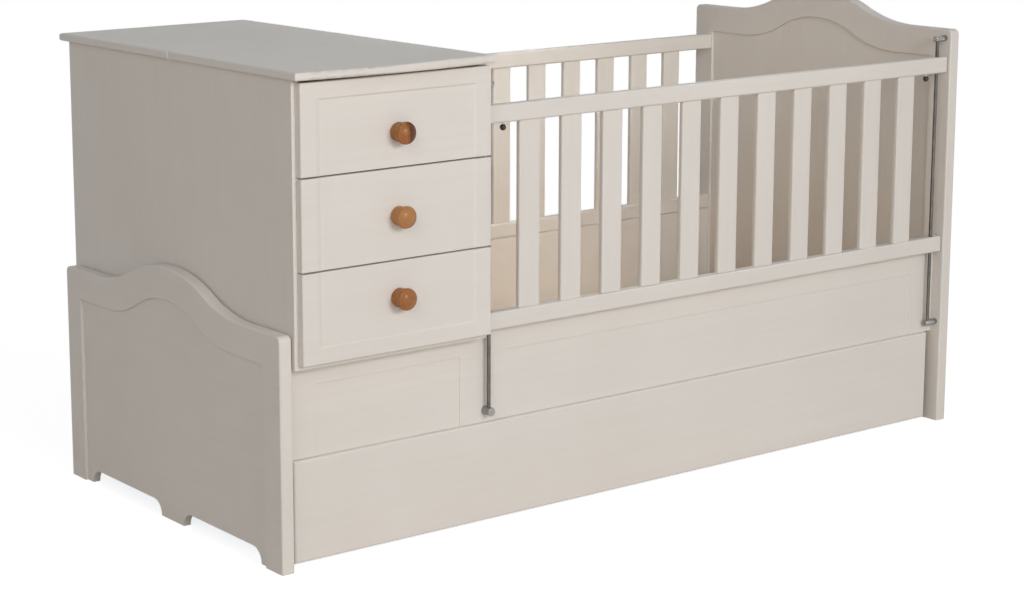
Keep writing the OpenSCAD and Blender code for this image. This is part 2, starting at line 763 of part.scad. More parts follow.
module latch_ball() {
    z = -rail_h / 2 - ball_gap - ball_d / 2;
    difference() {
        translate([ball_inset, 0, z]) rotate_extrude() intersection() {
            circle(d = ball_d);
            translate([0, -ball_d / 2]) square([ball_d / 2, ball_d]);
        }
        translate([ball_inset, 0, z]) cylinder(d = pin_d + 2 * fit_gap, h = ball_d);
    }
}

// Coil spring: an unbroken six-sided tube along X behind the bolt
module latch_spring() {
    steps = 12;
    count = spring_turns * steps;
    rad = bolt_d / 2 - spring_wire / 2 - 0.1;
    x0 = nose_x + bolt_l + spring_wire / 2;
    length = spring_l - spring_wire;
    points = [for (i = [0 : count]) for (k = [0 : 5]) let (
        t = 360 * i / steps,
        rr = rad + spring_wire / 2 * cos(60 * k))
        [x0 + length * i / count + spring_wire / 2 * sin(60 * k), rr * cos(t), rr * sin(t)]];
    faces = concat(
        [for (i = [0 : count - 1]) for (k = [0 : 5]) [6 * i + k, 6 * i + (k + 1) % 6, 6 * i + 6 + k]],
        [for (i = [0 : count - 1]) for (k = [0 : 5]) [6 * i + (k + 1) % 6, 6 * i + 6 + (k + 1) % 6, 6 * i + 6 + k]],
        [for (k = [1 : 4]) [0, k + 1, k]],
        [for (k = [1 : 4]) [6 * count, 6 * count + k, 6 * count + k + 1]]);
    polyhedron(points, faces);
}

module latch_left_bolt() {
    color([0.70, 0.70, 0.70]) latch_frame(0) latch_bolt();
}

module latch_left_ball() {
    color([0.08, 0.08, 0.08]) latch_frame(0) latch_ball();
}

module latch_left_spring() {
    color([0.60, 0.60, 0.60]) latch_frame(0) latch_spring();
}

module latch_right_bolt() {
    color([0.70, 0.70, 0.70]) latch_frame(1) latch_bolt();
}

module latch_right_ball() {
    color([0.08, 0.08, 0.08]) latch_frame(1) latch_ball();
}

module latch_right_spring() {
    color([0.60, 0.60, 0.60]) latch_frame(1) latch_spring();
}

// Chest: two half-depth carcasses back to back

module chest_side(x0, y0, y1) {
    block([x0, y0, seat_z], [x0 + carcass_t, y1, chest_top_z]);
}

module chest_left_front() {
    color([0.80, 0.77, 0.73]) put() chest_side(chest_x, chest_y0, seam_y);
}

module chest_left_rear() {
    color([0.80, 0.77, 0.73]) put() chest_side(chest_x, seam_y, chest_y1);
}

module chest_right_front() {
    color([0.80, 0.77, 0.73]) put() difference() {
        chest_side(inner_x1, chest_y0, seam_y);
        rod_x(chest_r - spigot_l - 0.5, chest_r + 1, rod_y, rod_high_z, spigot_d + 2 * fit_gap);
    }
}

module chest_right_rear() {
    color([0.80, 0.77, 0.73]) put() difference() {
        chest_side(inner_x1, seam_y, chest_y1);
        dowel_bores();
    }
}

module chest_bottom_front() {
    color([0.80, 0.77, 0.73]) put() block([inner_x0, chest_y0, seat_z], [inner_x1, seam_y, seat_z + carcass_t]);
}

module chest_bottom_rear() {
    color([0.80, 0.77, 0.73]) put() block([inner_x0, seam_y, seat_z], [inner_x1, chest_y1, seat_z + carcass_t]);
}

module chest_back_sheets() {
    color([0.80, 0.77, 0.73]) put() for (y = [seam_y - sheet_t, seam_y + sheet_gap])
        block([inner_x0, y, seat_z + carcass_t], [inner_x1, y + sheet_t - sheet_gap, chest_top_z]);
}

// Fixed shelves of the rear half, which is open at the back
module chest_shelves() {
    h = (chest_top_z - seat_z - carcass_t) / 3;
    color([0.80, 0.77, 0.73]) put() for (i = [1, 2])
        block([inner_x0, seam_y + sheet_t, seat_z + carcass_t + i * h - carcass_t / 2],
            [inner_x1, chest_y1 - 10, seat_z + carcass_t + i * h + carcass_t / 2]);
}

top_x0 = chest_x - top_left;
top_x1 = chest_r;
top_corner_y = chest_y0 - top_front;

// Front half of the top: bowed front edge, rounded front and side edges
module chest_top_front() {
    w = top_x1 - top_x0;
    rb = (w * w / 4 + top_bow * top_bow) / (2 * top_bow);
    cy = top_corner_y - top_bow + rb;
    half_a = asin(w / 2 / rb) + 2;
    depth = seam_y - top_corner_y + top_bow + 8;
    color([0.82, 0.80, 0.78]) put() intersection() {
        translate([(top_x0 + top_x1) / 2, cy, chest_top_z]) rotate([0, 0, -90 - half_a])
            rotate_extrude(angle = 2 * half_a, $fn = 512) difference() {
                translate([rb - depth, 0]) round_rect(depth, top_t, top_r);
                translate([rb - depth - 1, -1]) square([top_r + 1, top_t + 2]);
            }
        translate([top_x0, seam_y, chest_top_z]) rotate([90, 0, 0])
            linear_extrude(seam_y - top_corner_y + top_bow + 1) round_rect(w, top_t, top_r);
    }
}

module chest_top_rear() {
    w = top_x1 - top_x0;
    l = top_back_y - seam_y;
    color([0.82, 0.80, 0.78]) put() intersection() {
        translate([top_x0, top_back_y, chest_top_z]) rotate([90, 0, 0]) linear_extrude(l) round_rect(w, top_t, top_r);
        translate([top_x0, seam_y - 20, chest_top_z]) rotate([90, 0, 90]) linear_extrude(w) round_rect(l + 20, top_t, top_r);
    }
}

function drawer_z(i) = seat_z + front_lift + (3 - i) * (front_h + front_gap);
function runner_z(i) = drawer_z(i) + box_lift + box_h / 2 - runner_h / 2;

// Hardwood runner bars screwed inside the carcass
module drawer_runners() {
    l = box_gap + runner_in;
    color([0.80, 0.66, 0.45]) put() for (i = [1, 2, 3]) {
        block([inner_x0, chest_y0 + 10, runner_z(i)], [inner_x0 + l, seam_y - sheet_t - 20, runner_z(i) + runner_h]);
        block([inner_x1 - l, chest_y0 + 10, runner_z(i)], [inner_x1, seam_y - sheet_t - 20, runner_z(i) + runner_h]);
    }
}

// Wedge-edged cutter of the routed field that runs over all three fronts
module moulding_cutter() {
    x0 = field_x0 + moulding_inset;
    x1 = chest_r - moulding_inset;
    z0 = drawer_z(3) + moulding_inset;
    z1 = drawer_z(1) + front_h - moulding_inset;
    m = moulding_w;
    d = moulding_d;
    intersection() {
        translate([0, 0, z0 - 1]) linear_extrude(z1 - z0 + 2)
            polygon([[x0 - m / d, front_y - 1], [x1 + m / d, front_y - 1], [x1, front_y], [x1 - m, front_y + d],
                [x0 + m, front_y + d], [x0, front_y]]);
        translate([x0 - 1, 0, 0]) rotate([90, 0, 90]) linear_extrude(x1 - x0 + 2)
            polygon([[front_y - 1, z0 - m / d], [front_y - 1, z1 + m / d], [front_y, z1], [front_y + d, z1 - m],
                [front_y + d, z0 + m], [front_y, z0]]);
    }
}

function knob_z(i) = drawer_z(i) + front_h / 2 + knob_shifts[i - 1];

module drawer_front(i) {
    z = drawer_z(i);
    y1 = front_y + front_t;
    put() difference() {
        front_board(field_x0, chest_r, front_y, y1, z, z + front_h, front_r);
        moulding_cutter();
        // Groove for the bottom and bore for the knob's spigot
        block([box_x0 + box_t - groove, y1 - groove, z + box_lift + 10], [box_x1 - box_t + groove, y1 + 1, z + box_lift + 10.2 + bottom_t]);
        rod_along_y(knob_x, front_y - 1, y1 - 3, knob_z(i), spigot_d + 2 * fit_gap);
    }
}

module drawer_sides(i) {
    z = drawer_z(i) + box_lift;
    y0 = front_y + front_t;
    put() for (s = [0, 1]) translate([s * (box_x0 + box_x1), 0, 0]) mirror([s, 0, 0]) difference() {
        block([box_x0, y0, z], [box_x0 + box_t, y0 + box_l, z + box_h]);
        block([box_x0 + box_t - groove, y0 - 1, z + 10], [box_x0 + box_t + 1, y0 + box_l + 1, z + 10.2 + bottom_t]);
        block([box_x0 - 1, y0 - 1, runner_z(i) - runner_gap],
            [box_x0 + runner_in + runner_gap, y0 + box_l + 1, runner_z(i) + runner_h + runner_gap]);
    }
}

module drawer_back(i) {
    z = drawer_z(i) + box_lift + 10.2 + bottom_t;
    y1 = front_y + front_t + box_l;
    put() block([box_x0 + box_t, y1 - box_t, z], [box_x1 - box_t, y1, drawer_z(i) + box_lift + box_h]);
}

module drawer_bottom(i) {
    z = drawer_z(i) + box_lift + 10.1;
    y0 = front_y + front_t;
    g = groove - 0.3;
    put() block([box_x0 + box_t - g, y0 - g, z], [box_x1 - box_t + g, y0 + box_l, z + bottom_t]);
}

// Turned knob: spigot, wide foot, cove and bun-shaped head, axis towards the front
module drawer_knob(i) {
    l = knob_out + moulding_d;
    r = knob_d / 2;
    foot_r = r * 0.864;
    foot_edge = r * 0.16;
    cove_r = l * 0.17;
    head_z = l * 0.675;
    rim_r = r * 0.364;
    // The dome is tangent to the rim
    dx = r - rim_r;
    dz = l - head_z;
    dome_r = (dx * dx + dz * dz - rim_r * rim_r) / (2 * (dz - rim_r));
    put() translate([knob_x, front_y + moulding_d, knob_z(i)]) rotate([90, 0, 0]) rotate_extrude() {
        translate([0, -10]) square([spigot_d / 2, 11]);
        difference() {
            union() {
                square([foot_r, head_z - foot_edge]);
                square([dx, head_z]);
            }
            translate([foot_r + cove_r - 2.5, l * 0.338]) circle(r = cove_r);
            difference() {
                translate([foot_r - foot_edge, -1]) square([foot_edge + 1, foot_edge + 1]);
                translate([foot_r - foot_edge, foot_edge]) circle(r = foot_edge);
            }
        }
        translate([dx, head_z]) circle(r = rim_r);
        intersection() {
            translate([0, l - dome_r]) circle(r = dome_r, $fn = 128);
            translate([0, head_z - 1]) square([dx * dome_r / (dome_r - rim_r), l - head_z + 2]);
        }
    }
}

module drawer1_front() {
    color([0.90, 0.87, 0.82]) drawer_front(1);
}

module drawer1_sides() {
    color([0.80, 0.66, 0.45]) drawer_sides(1);
}

module drawer1_back() {
    color([0.80, 0.66, 0.45]) drawer_back(1);
}

module drawer1_bottom() {
    color([0.80, 0.66, 0.45]) drawer_bottom(1);
}

module drawer1_knob() {
    color([0.55, 0.33, 0.13]) drawer_knob(1);
}

module drawer2_front() {
    color([0.90, 0.87, 0.82]) drawer_front(2);
}

module drawer2_sides() {
    color([0.80, 0.66, 0.45]) drawer_sides(2);
}

module drawer2_back() {
    color([0.80, 0.66, 0.45]) drawer_back(2);
}

module drawer2_bottom() {
    color([0.80, 0.66, 0.45]) drawer_bottom(2);
}

module drawer2_knob() {
    color([0.55, 0.33, 0.13]) drawer_knob(2);
}

module drawer3_front() {
    color([0.90, 0.87, 0.82]) drawer_front(3);
}

module drawer3_sides() {
    color([0.80, 0.66, 0.45]) drawer_sides(3);
}

module drawer3_back() {
    color([0.80, 0.66, 0.45]) drawer_back(3);
}

module drawer3_bottom() {
    color([0.80, 0.66, 0.45]) drawer_bottom(3);
}

module drawer3_knob() {
    color([0.55, 0.33, 0.13]) drawer_knob(3);
}

// Roll-out drawer under the bed

module roll_front() {
    color([0.84, 0.81, 0.77]) put()
        front_board(roll_x, roll_r, roll_y, roll_y + roll_t, roll_z, roll_top_z, 5);
}

module roll_sides() {
    y0 = roll_y + roll_t;
    color([0.84, 0.81, 0.77]) put() {
        block([roll_in_x0 - roll_side_t, y0, roll_side_z], [roll_in_x0, roll_back_y, roll_side_top]);
        block([roll_in_x1, y0, roll_side_z], [roll_in_x1 + roll_side_t, roll_back_y, roll_side_top]);
    }
}

module roll_back() {
    color([0.84, 0.81, 0.77]) put()
        block([roll_in_x0, roll_back_y - roll_side_t, roll_side_z], [roll_in_x1, roll_back_y, roll_side_top]);
}

module roll_base() {
    z = roll_bearer_z + roll_bearer_h;
    color([0.80, 0.66, 0.45]) put()
        block([roll_in_x0, roll_y + roll_t, z], [roll_in_x1, roll_back_y - roll_side_t, z + roll_base_t]);
}

module roll_bearers() {
    y0 = roll_y + roll_t;
    y1 = roll_back_y - roll_side_t;
    z0 = roll_bearer_z;
    color([0.80, 0.66, 0.45]) put() difference() {
        for (x = [wheel_xs[0], (roll_x + roll_r) / 2, wheel_xs[1]])
            block([x - roll_bearer_w / 2, y0, z0], [x + roll_bearer_w / 2, y1, z0 + roll_bearer_h]);
        for (x = wheel_xs) for (y = wheel_ys) {
            block([x - wheel_w / 2 - 1.5, y - wheel_d / 2 - 5, z0 - 1], [x + wheel_w / 2 + 1.5, y + wheel_d / 2 + 5, wheel_d + 3]);
            rod_x(x - roll_bearer_w, x + roll_bearer_w, y, axle_z, axle_d + 2 * fit_gap);
        }
    }
}

module roll_axles() {
    color([0.70, 0.70, 0.70]) put() for (x = wheel_xs) for (y = wheel_ys)
        rod_x(x - roll_bearer_w / 2, x + roll_bearer_w / 2, y, axle_z, axle_d);
}

// Wheel: tyre, recessed disc and hub around the axle
module wheel(ix, iy) {
    r = wheel_d / 2;
    w = wheel_w;
    color([0.16, 0.16, 0.17]) put() translate([wheel_xs[ix], wheel_ys[iy], axle_z]) rotate([0, 90, 0]) rotate_extrude() {
        difference() {
            translate([0, -w / 2]) round_rect(r, w, 3);
            translate([0, -w / 2 - 1]) square([axle_d / 2 + axle_gap, w + 2]);
            for (s = [-1, 1]) translate([axle_d / 2 + 5, s > 0 ? w / 2 - 4 : -w / 2 - 1]) square([r - axle_d / 2 - 11, 5]);
        }
        translate([axle_d / 2 + axle_gap, -w / 2]) square([3, w]);
    }
}

module wheel_front_left() {
    wheel(0, 0);
}

module wheel_front_right() {
    wheel(1, 0);
}

module wheel_rear_left() {
    wheel(0, 1);
}

module wheel_rear_right() {
    wheel(1, 1);
}

footboard();
headboard();
front_panel();
back_panel();
back_top_rail();
back_bottom_rail();
back_slats();
front_bearer();
back_ledger();
base_slats();
crib_end_panel();
dowels();
guide_rods();
rod_fittings();
chest_left_front();
chest_left_rear();
chest_right_front();
chest_right_rear();
chest_bottom_front();
chest_bottom_rear();
chest_back_sheets();
chest_shelves();
chest_top_front();
chest_top_rear();
drawer_runners();
drawer1_front();
drawer1_sides();
drawer1_back();
drawer1_bottom();
drawer1_knob();
drawer2_front();
drawer2_sides();
drawer2_back();
drawer2_bottom();
drawer2_knob();
drawer3_front();
drawer3_sides();
drawer3_back();
drawer3_bottom();
drawer3_knob();
drop_top_rail();
drop_bottom_rail();
drop_slats();
rod_bushings();
latch_left_bolt();
latch_left_ball();
latch_left_spring();
latch_right_bolt();
latch_right_ball();
latch_right_spring();
roll_front();
roll_sides();
roll_back();
roll_base();
roll_bearers();
roll_axles();
wheel_front_left();
wheel_front_right();
wheel_rear_left();
wheel_rear_right();
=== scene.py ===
# %% [markdown]
# # A convertible child bed, dressed in Blender
# The bed's construction comes from the imported CAD model: sixty named nodes, in metres, Z up, the
# bed's long side along X and its front towards -Y. This script keeps their sizes and places, but
# for a few millimetres on three drawer fronts. It makes the surfaces: lacquered boards with eased
# edges, turned knobs, chromed rods, and the light and camera that show them.
# The first cell loads the frame.

# %% Load the frame
import json
import math

import bpy
from mathutils import Matrix, Vector


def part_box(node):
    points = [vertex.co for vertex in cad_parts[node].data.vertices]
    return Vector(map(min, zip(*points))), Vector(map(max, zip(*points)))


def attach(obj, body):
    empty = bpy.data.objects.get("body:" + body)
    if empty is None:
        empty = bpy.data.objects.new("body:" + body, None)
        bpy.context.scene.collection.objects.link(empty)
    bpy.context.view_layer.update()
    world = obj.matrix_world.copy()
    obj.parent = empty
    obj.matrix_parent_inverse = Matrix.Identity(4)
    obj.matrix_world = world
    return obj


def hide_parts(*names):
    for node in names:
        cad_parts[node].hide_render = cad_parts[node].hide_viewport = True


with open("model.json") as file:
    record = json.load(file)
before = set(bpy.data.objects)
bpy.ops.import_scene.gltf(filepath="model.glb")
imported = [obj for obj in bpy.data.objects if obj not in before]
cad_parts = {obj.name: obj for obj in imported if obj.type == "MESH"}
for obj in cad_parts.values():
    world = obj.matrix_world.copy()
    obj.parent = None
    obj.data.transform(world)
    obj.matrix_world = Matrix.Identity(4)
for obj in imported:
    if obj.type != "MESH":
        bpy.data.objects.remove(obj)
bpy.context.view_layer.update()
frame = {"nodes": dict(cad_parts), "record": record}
record = frame["record"]
node_slot = {part["node"]: part["material_slot"] for part in record["subparts"]}
node_body = {node: body for body, nodes in record["behaviour"]["bodies"].items() for node in nodes}

# %% [markdown]
# ## Helpers
# Operators work on what is selected. Loading the frame leaves its nodes selected, so each step
# first selects only the object it works on. In a mesh the same holds for points and edges: they
# are picked by their place, the way a modeller would pick them, after all else is deselected.

# %% Select one object, or parts of its mesh
MM = 0.001


def activate(obj):
    """Selects this object alone and makes it the active one."""
    bpy.ops.object.select_all(action="DESELECT")
    obj.select_set(True)
    bpy.context.view_layer.objects.active = obj


def edit(obj, select="DESELECT", mode="VERT"):
    """Opens the object in edit mode with nothing or everything selected."""
    activate(obj)
    bpy.ops.object.mode_set(mode="EDIT")
    bpy.ops.mesh.select_mode(type=mode)
    bpy.ops.mesh.select_all(action=select)


def object_mode():
    bpy.ops.object.mode_set(mode="OBJECT")


def deselect_elements(mesh):
    for element in (*mesh.vertices, *mesh.edges, *mesh.polygons):
        element.select = False


# %% [markdown]
# ## Finishes
# Each material is a Principled shader whose colour, roughness and small bumps come from noise on
# Object coordinates. Every piece lies at the origin with its place in its mesh, so Object
# coordinates are metres of the real bed, and a pattern has the same size on every board.

# %% Material helpers
EVEN = (1.0, 1.0, 1.0)
WHITE = (1.0, 1.0, 1.0)


def material_base(name):
    material = bpy.data.materials.new(name)
    material.use_nodes = True
    nodes = material.node_tree.nodes
    return material, nodes, material.node_tree.links, nodes["Principled BSDF"]


def noise(nodes, links, vector, scale=1.0, detail=2.0, roughness=0.5, distortion=0.0):
    node = nodes.new("ShaderNodeTexNoise")
    node.inputs["Scale"].default_value = scale
    node.inputs["Detail"].default_value = detail
    node.inputs["Roughness"].default_value = roughness
    node.inputs["Distortion"].default_value = distortion
    links.new(vector, node.inputs["Vector"])
    return node.outputs["Fac"]


def stretched(nodes, links, scale, offset=(0.0, 0.0, 0.0)):
    """Object coordinates through a Mapping node."""
    coordinates = nodes.new("ShaderNodeTexCoord")
    mapping = nodes.new("ShaderNodeMapping")
    mapping.inputs["Location"].default_value = offset
    mapping.inputs["Scale"].default_value = scale
    links.new(coordinates.outputs["Object"], mapping.inputs["Vector"])
    return mapping.outputs["Vector"]


def ramp(nodes, links, value, stops):
    node = nodes.new("ShaderNodeValToRGB")
    elements = node.color_ramp.elements
    while len(elements) < len(stops):
        elements.new(0.5)
    for element, (position, colour) in zip(elements, stops):
        element.position = position
        element.color = (*colour, 1.0)
    links.new(value, node.inputs["Fac"])
    return node.outputs["Color"]


def ranged(nodes, links, value, low, high, start=0.3, end=0.7):
    node = nodes.new("ShaderNodeMapRange")
    node.inputs["From Min"].default_value = start
    node.inputs["From Max"].default_value = end
    node.inputs["To Min"].default_value = low
    node.inputs["To Max"].default_value = high
    links.new(value, node.inputs["Value"])
    return node.outputs["Result"]


def bump(nodes, links, height, strength, distance, below=None):
    node = nodes.new("ShaderNodeBump")
    node.inputs["Strength"].default_value = strength
    node.inputs["Distance"].default_value = distance
    links.new(height, node.inputs["Height"])
    if below is not None:
        links.new(below, node.inputs["Normal"])
    return node.outputs["Normal"]


def multiplied(nodes, links, first, second):
    node = nodes.new("ShaderNodeMix")
    node.data_type = "RGBA"
    node.blend_type = "MULTIPLY"
    node.inputs["Factor"].default_value = 1.0
    links.new(first, node.inputs["A"])
    links.new(second, node.inputs["B"])
    return node.outputs["Result"]


def by_axis(grain_axis, along, across):
    """A pattern's scale along the grain and in the two directions across it."""
    return tuple(along if axis == grain_axis else across for axis in "xyz")


# %% [markdown]
# ## Cream satin lacquer
# The boards are sprayed with several coats of cream lacquer and rubbed down between coats. Up
# close that leaves three marks: a very slight cloudiness in the colour, a fine orange peel that
# breaks up reflections, and a faint trace of the wood's direction under the paint. A flat colour
# would look like plastic. The trace runs along the longest side of each board, so there is one
# lacquer for each direction of the grain.

# %% Lacquer
CREAM_LIGHT = (0.800, 0.757, 0.706)
CREAM_DEEP = (0.776, 0.731, 0.678)
GRAIN_TRACE = (0.985, 0.982, 0.977)


def lacquer(name, grain_axis):
    material, nodes, links, shader = material_base(name)
    plain = stretched(nodes, links, EVEN)
    board = stretched(nodes, links, by_axis(grain_axis, along=3.0, across=90.0))
    grain = noise(nodes, links, board, detail=4.0, roughness=0.6)
    clouds = noise(nodes, links, plain, scale=3.2, detail=3.0, roughness=0.55)
    tone = ramp(nodes, links, clouds, [(0.30, CREAM_DEEP), (0.62, CREAM_LIGHT)])
    streaks = ramp(nodes, links, grain, [(0.35, GRAIN_TRACE), (0.60, WHITE)])
    links.new(multiplied(nodes, links, tone, streaks), shader.inputs["Base Color"])
    rubbed = noise(nodes, links, plain, scale=24.0, detail=3.0)
    links.new(ranged(nodes, links, rubbed, low=0.40, high=0.52), shader.inputs["Roughness"])
    peel = noise(nodes, links, plain, scale=620.0, detail=1.5)
    fine = bump(nodes, links, peel, strength=0.10, distance=0.25 * MM)
    coarse = bump(nodes, links, grain, strength=0.06, distance=0.20 * MM, below=fine)
    links.new(coarse, shader.inputs["Normal"])
    shader.inputs["IOR"].default_value = 1.48
    shader.inputs["Specular IOR Level"].default_value = 0.28
    return material


lacquer_along = {axis: lacquer("cream_lacquer_" + axis, axis) for axis in "xyz"}
print("lacquers:", [m.name for m in lacquer_along.values()])

# %% [markdown]
# ## Planed wood, faced board
# The slatted base, the bearers, the dowels and the drawers' sides, backs and runners are
# clear-sealed softwood. Growth rings cut along their length show as long streaks: noise that is
# stretched about 30 times along the piece and coloured by a ramp, with fine pores over it. The
# drawers' bottoms, the roll-out drawer's base and the chest's back sheets are white-faced board:
# a hard, nearly even face with a faint print of its press plate.

# %% Wood and board
WOOD_DARK = (0.44, 0.27, 0.13)
WOOD_MIDDLE = (0.60, 0.41, 0.22)
WOOD_LIGHT = (0.70, 0.52, 0.31)
WOOD_PORES = (0.84, 0.80, 0.74)
FACE_DEEP = (0.76, 0.73, 0.68)
FACE_LIGHT = (0.80, 0.775, 0.73)


def planed_wood(name, grain_axis):
    material, nodes, links, shader = material_base(name)
    trunk = stretched(nodes, links, by_axis(grain_axis, along=1.2, across=38.0))
    rings = noise(nodes, links, trunk, detail=5.0, roughness=0.55, distortion=0.6)
    fibres = stretched(nodes, links, by_axis(grain_axis, along=14.0, across=620.0))
    pores = noise(nodes, links, fibres, detail=2.0, roughness=0.6)
    wood = ramp(nodes, links, rings, [(0.32, WOOD_DARK), (0.45, WOOD_MIDDLE), (0.62, WOOD_LIGHT)])
    dots = ramp(nodes, links, pores, [(0.36, WOOD_PORES), (0.50, WHITE)])
    links.new(multiplied(nodes, links, wood, dots), shader.inputs["Base Color"])
    links.new(ranged(nodes, links, rings, low=0.62, high=0.50), shader.inputs["Roughness"])
    links.new(bump(nodes, links, pores, strength=0.25, distance=0.2 * MM), shader.inputs["Normal"])
    return material


def faced_board(name):
    material, nodes, links, shader = material_base(name)
    plain = stretched(nodes, links, EVEN)
    clouds = noise(nodes, links, plain, scale=5.0)
    plate = noise(nodes, links, plain, scale=1100.0, detail=1.0)
    face = ramp(nodes, links, clouds, [(0.3, FACE_DEEP), (0.7, FACE_LIGHT)])
    links.new(face, shader.inputs["Base Color"])
    links.new(ranged(nodes, links, plate, low=0.42, high=0.55), shader.inputs["Roughness"])
    links.new(bump(nodes, links, plate, strength=0.12, distance=0.1 * MM), shader.inputs["Normal"])
    return material


wood_along = {axis: planed_wood("planed_wood_" + axis, axis) for axis in "xyz"}
board_face = faced_board("faced_board")
print("woods:", [m.name for m in wood_along.values()], board_face.name)

# %% [markdown]
# ## Metal and plastic
# The guide rods are chromed steel. In the photograph they mirror dark parts of a room that this
# scene doesn't have, so their metal is given that dark tone as a painted reflection, and the
# fittings at their ends a paler painted reflection. Roughness varies in soft patches. Bolts, axles
# and springs are plain or zinc-plated steel with fine turning marks round their axis, so their
# noise is squeezed along X. The ball knobs are glossy black mouldings; sleeves and wheels are matt
# ones.

# %% Metal
def clouded(name, dark, bright, roughness, cloud_scale):
    """A material whose colour and roughness vary together; roughness is a pair."""
    material, nodes, links, shader = material_base(name)
    plain = stretched(nodes, links, EVEN)
    clouds = noise(nodes, links, plain, scale=cloud_scale, detail=3.0)
    links.new(ramp(nodes, links, clouds, [(0.3, dark), (0.7, bright)]), shader.inputs["Base Color"])
    links.new(ranged(nodes, links, clouds, *roughness), shader.inputs["Roughness"])
    return material, nodes, links, shader, plain


def metal(name, dark, bright, roughness, mark_scale):
    material, nodes, links, shader, _ = clouded(name, dark, bright, roughness, cloud_scale=60.0)
    marks = noise(nodes, links, stretched(nodes, links, mark_scale))
    links.new(bump(nodes, links, marks, strength=0.08, distance=0.05 * MM), shader.inputs["Normal"])
    shader.inputs["Metallic"].default_value = 1.0
    return material


# The rods' dark base colour is a painted reflection of a dark room, not a dulled finish.
chrome = metal("chrome_painted_dark_reflection", dark=(0.105, 0.098, 0.092), bright=(0.165, 0.155, 0.147),
               roughness=(0.12, 0.24), mark_scale=(90.0, 90.0, 1400.0))
# The fittings' paler base colour is a painted reflection too.
fitting_chrome = metal("chrome_painted_pale_reflection", dark=(0.27, 0.265, 0.255), bright=(0.37, 0.36, 0.35),
                       roughness=(0.14, 0.26), mark_scale=(90.0, 90.0, 90.0))
zinc = metal("zinc_steel", dark=(0.46, 0.46, 0.47), bright=(0.58, 0.58, 0.58),
             roughness=(0.28, 0.42), mark_scale=(1600.0, 60.0, 60.0))
spring_wire = metal("spring_wire", dark=(0.30, 0.30, 0.31), bright=(0.42, 0.42, 0.43),
                    roughness=(0.30, 0.45), mark_scale=(700.0, 700.0, 700.0))
print("metals:", [m.name for m in (chrome, fitting_chrome, zinc, spring_wire)])


# %% Plastic
def moulding(name, dark, bright, roughness, grit_scale, grit_depth):
    material, nodes, links, shader, plain = clouded(name, dark, bright, roughness, cloud_scale=40.0)
    grit = noise(nodes, links, plain, scale=grit_scale)
    links.new(bump(nodes, links, grit, strength=0.15, distance=grit_depth), shader.inputs["Normal"])
    shader.inputs["IOR"].default_value = 1.50
    return material


black_gloss = moulding("black_moulding", dark=(0.012, 0.011, 0.012), bright=(0.022, 0.021, 0.021),
                       roughness=(0.16, 0.26), grit_scale=900.0, grit_depth=0.02 * MM)
nylon = moulding("natural_nylon", dark=(0.70, 0.68, 0.62), bright=(0.77, 0.75, 0.70),
                 roughness=(0.45, 0.60), grit_scale=1500.0, grit_depth=0.03 * MM)
wheel_grey = moulding("wheel_moulding", dark=(0.055, 0.056, 0.060), bright=(0.090, 0.090, 0.095),
                      roughness=(0.50, 0.68), grit_scale=1300.0, grit_depth=0.06 * MM)
print("plastics:", [m.name for m in (black_gloss, nylon, wheel_grey)])

# %% [markdown]
# ## Which finish each node takes
# The record names a slot for every node. Lacquer and planed wood also need a direction: the
# node's longest side, or for a row of slats or a pair of sides the side that one of them is long.
# The rod fittings take the brighter chrome, whose colour is a painted reflection. A knob's wood
# comes later, with the knob.

# %% Finish of a node
UPRIGHT = {"drop_slats", "back_slats", "headboard", "chest_left_front", "chest_left_rear",
           "chest_right_front", "chest_right_rear"}
CROSSWISE = {"base_slats", "roll_bearers", "drawer_runners", "footboard", "roll_sides",
             "drawer1_sides", "drawer2_sides", "drawer3_sides"}
SLOT_FINISH = {"white_board": board_face, "chrome": chrome, "steel": zinc,
               "spring_steel": spring_wire, "black_plastic": black_gloss, "guide_plastic": nylon,
               "wheel_plastic": wheel_grey}


def grain_of(node):
    if node in UPRIGHT:
        return "z"
    if node in CROSSWISE:
        return "y"
    low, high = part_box(node)
    size = high - low
    return "xyz"[max(range(3), key=lambda i: size[i])]


def finish_of(node):
    slot = node_slot[node]
    if node == "rod_fittings":
        return fitting_chrome
    if slot == "lacquer":
        return lacquer_along[grain_of(node)]
    if slot in ("raw_wood", "knob_wood"):
        return wood_along[grain_of(node)]
    return SLOT_FINISH[slot]


for node, obj in frame["nodes"].items():
    obj.data.materials.clear()
    obj.data.materials.append(finish_of(node))
print("finishes assigned to", len(frame["nodes"]), "nodes")

# %% [markdown]
# ## Eased edges
# No lacquered board has a knife edge: a sander takes the arris off before the first coat, or the
# lacquer would chip. That narrow round is what catches the light along every rail and slat. The
# construction is right as it is, so each wooden node is copied, its loose triangles are merged to
# whole flat faces, and only the long sharp edges are bevelled. Short edges, such as the rims of
# bores, keep their form.

# %% Copy a node as a clean mesh
MERGE_WITHIN = 0.01 * MM
FLAT_WITHIN = math.radians(0.4)
SHARP_FROM = math.radians(40)
SHORTEST_EDGE = 12 * MM


def merged_copy(node, name, within=MERGE_WITHIN):
    """A copy whose points are merged, left open in edit mode with everything selected."""
    mesh = frame["nodes"][node].data.copy()
    piece = bpy.data.objects.new(name, mesh)
    bpy.context.scene.collection.objects.link(piece)
    edit(piece, "SELECT")
    bpy.ops.mesh.remove_doubles(threshold=within)
    bpy.ops.mesh.customdata_custom_splitnormals_clear()
    return piece


def clean_copy(node, name):
    piece = merged_copy(node, name)
    bpy.ops.mesh.select_all(action="SELECT")
    bpy.ops.mesh.dissolve_limited(angle_limit=FLAT_WITHIN)
    object_mode()
    return piece


